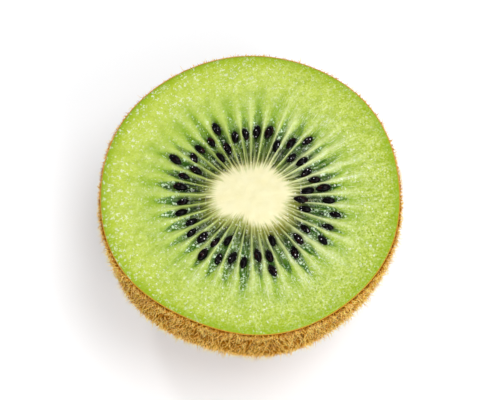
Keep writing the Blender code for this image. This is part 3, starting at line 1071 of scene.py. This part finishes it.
def dry_skin():
    """Kiwi skin: thin, dry and papery, a warm brown that shows paler where the knife went through."""
    made, tree, shader = new_material("dry brown kiwi skin", {"Roughness": 0.85, "Specular IOR Level": 0.0})
    spot = add_node(tree, "ShaderNodeTexCoord").outputs["Object"]
    down = add_node(tree, "ShaderNodeAttribute", attribute_name="down").outputs["Fac"]
    inputs = {"Vector": spot, "Scale": 1 / SKIN_PATCH, "Detail": 4}
    patches = add_node(tree, "ShaderNodeTexNoise", inputs).outputs["Fac"]
    inputs = {"Vector": spot, "Scale": 1 / SKIN_GRAIN, "Detail": 5, "Roughness": 0.65}
    grain = add_node(tree, "ShaderNodeTexNoise", inputs).outputs["Fac"]
    colour = laid(tree, "#764408", "#8c5812", (patches, 0.35, 0.65))
    colour = laid(tree, colour, "#442604", (grain, 0.55, 0.35))
    colour = laid(tree, colour, "#cf9636", (down, 0.006, 0.0))
    tree.links.new(colour, shader.inputs["Base Color"])
    bump = add_node(tree, "ShaderNodeBump", {"Height": grain, "Strength": 0.7, "Distance": 0.12 * MM})
    tree.links.new(bump.outputs["Normal"], shader.inputs["Normal"])
    return made


def dry_hair():
    """Kiwi fuzz: stiff dry hairs, browner at the root and straw gold at the tip, which glow softly."""
    settings = {
        "Roughness": 0.6,
        "Specular IOR Level": 0.0,
        "Subsurface Weight": 0.5,
        "Subsurface Radius": (1.0, 0.6, 0.1),
        "Subsurface Scale": 0.15 * MM,
    }
    made, tree, shader = new_material("golden brown kiwi fuzz", settings)
    shade = add_node(tree, "ShaderNodeAttribute", attribute_name="shade").outputs["Fac"]
    along = add_node(tree, "ShaderNodeAttribute", attribute_name="along").outputs["Fac"]
    root = laid(tree, "#703c06", "#ffb43c", shade)
    tip = laid(tree, "#d88418", "#ffee9c", shade)
    tree.links.new(laid(tree, root, tip, along), shader.inputs["Base Color"])
    return made


def pale_board():
    """A matt white studio surface, which gives the eye nothing but the fruit's soft shadow."""
    settings = {"Base Color": linear("#f8f9fa"), "Roughness": 0.9, "Specular IOR Level": 0.1}
    return new_material("matt white studio board", settings)[0]


def build_floor():
    deselect()
    bpy.ops.mesh.primitive_plane_add(size=FLOOR_SIZE)
    floor = bpy.context.active_object
    floor.name = "studio_floor"
    floor.data.materials.append(pale_board())


def place_camera():
    """A long lens that looks down on the cut from the front, framed as the photograph is."""
    away = Vector((0, -math.cos(CAMERA_ELEVATION), math.sin(CAMERA_ELEVATION)))
    up = Vector((0, math.sin(CAMERA_ELEVATION), math.cos(CAMERA_ELEVATION)))
    pixels_per_metre = CAMERA_LENS / SENSOR_WIDTH * PICTURE_WIDTH / CAMERA_DISTANCE
    right_by = (FACE_MIDDLE_PIXEL[0] - PICTURE_WIDTH / 2) / pixels_per_metre
    up_by = (PICTURE_HEIGHT / 2 - FACE_MIDDLE_PIXEL[1]) / pixels_per_metre
    aim = Vector((AXIS[0], AXIS[1], FACE_HEIGHT)) - Vector((right_by, 0, 0)) - up * up_by
    data = bpy.data.cameras.new("camera")
    data.lens = CAMERA_LENS
    data.sensor_width = SENSOR_WIDTH
    data.clip_start = 0.01
    camera = bpy.data.objects.new("camera", data)
    camera.location = aim + away * CAMERA_DISTANCE
    camera.rotation_euler = (-away).to_track_quat("-Z", "Y").to_euler()
    bpy.context.scene.collection.objects.link(camera)
    bpy.context.scene.camera = camera


def soft_box(name, azimuth, elevation, spread, share):
    """A disc light that faces the fruit."""
    across, rise = math.cos(math.radians(elevation)), math.sin(math.radians(elevation))
    heading = math.radians(azimuth)
    away = Vector((across * math.cos(heading), across * math.sin(heading), rise))
    data = bpy.data.lights.new(name, "AREA")
    data.shape = "DISK"
    data.size = 2 * LIGHT_DISTANCE * math.tan(math.radians(spread))
    data.energy = share * math.pi**2 * LIGHT_DISTANCE**2 / rise
    light = bpy.data.objects.new(name, data)
    light.location = away * LIGHT_DISTANCE + Vector((0, 0, FACE_HEIGHT))
    light.rotation_euler = away.to_track_quat("Z", "Y").to_euler()
    bpy.context.scene.collection.objects.link(light)


def light_studio():
    """White walls, highest in front and brightest on the right, under a dim ceiling, with the four lights."""
    world = bpy.data.worlds.new("studio")
    world.use_nodes = True
    tree = world.node_tree
    upward = add_node(tree, "ShaderNodeTexCoord").outputs["Generated"]
    parts = add_node(tree, "ShaderNodeSeparateXYZ", {"Vector": upward}).outputs
    inputs = {0: parts["Z"], 1: product(tree, FRONT_RISE, (parts["Y"], 0.05, -0.50))}
    height = add_node(tree, "ShaderNodeMath", inputs, operation="SUBTRACT").outputs[0]
    inputs = {"Value": height, "From Min": WALL_TOP[0], "From Max": WALL_TOP[1]}
    inputs.update({"To Min": WALL_GLOW, "To Max": CEILING_GLOW})
    glow = add_node(tree, "ShaderNodeMapRange", inputs, clamp=True).outputs["Result"]
    inputs = {0: parts["X"], 1: RIGHT_GLOW, 2: 1.0}
    brighter = add_node(tree, "ShaderNodeMath", inputs, operation="MULTIPLY_ADD").outputs[0]
    strength = product(tree, glow, brighter)
    tree.links.new(strength, tree.nodes["Background"].inputs["Strength"])
    tree.nodes["Background"].inputs["Color"].default_value = linear("#ffffff")
    bpy.context.scene.world = world
    for name, setting in LIGHTS.items():
        soft_box(name, *setting)
    bpy.context.scene.view_settings.view_transform = "Standard"
    bpy.context.scene.view_settings.look = "None"
    bpy.context.scene.cycles.use_denoising = True


def main():
    place_camera()
    light_studio()
    build_floor()
    flesh, seeds, skin = build_flesh(), build_seeds(), build_skin()
    hairs = [build_fuzz(name, kind) for name, kind in FUZZ_KINDS.items()]
    flesh.data.materials.append(wet_flesh())
    seeds.data.materials.append(wet_seed())
    skin.data.materials.append(dry_skin())
    hair = dry_hair()
    for piece in hairs:
        piece.data.materials.append(hair)
    slots = {"kiwi_flesh": [flesh], "kiwi_seed": [seeds], "kiwi_skin": [skin, *hairs]}
    for slot, pieces in slots.items():
        for piece in pieces:
            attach(piece, "root")
            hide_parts("kiwi_half")


main()
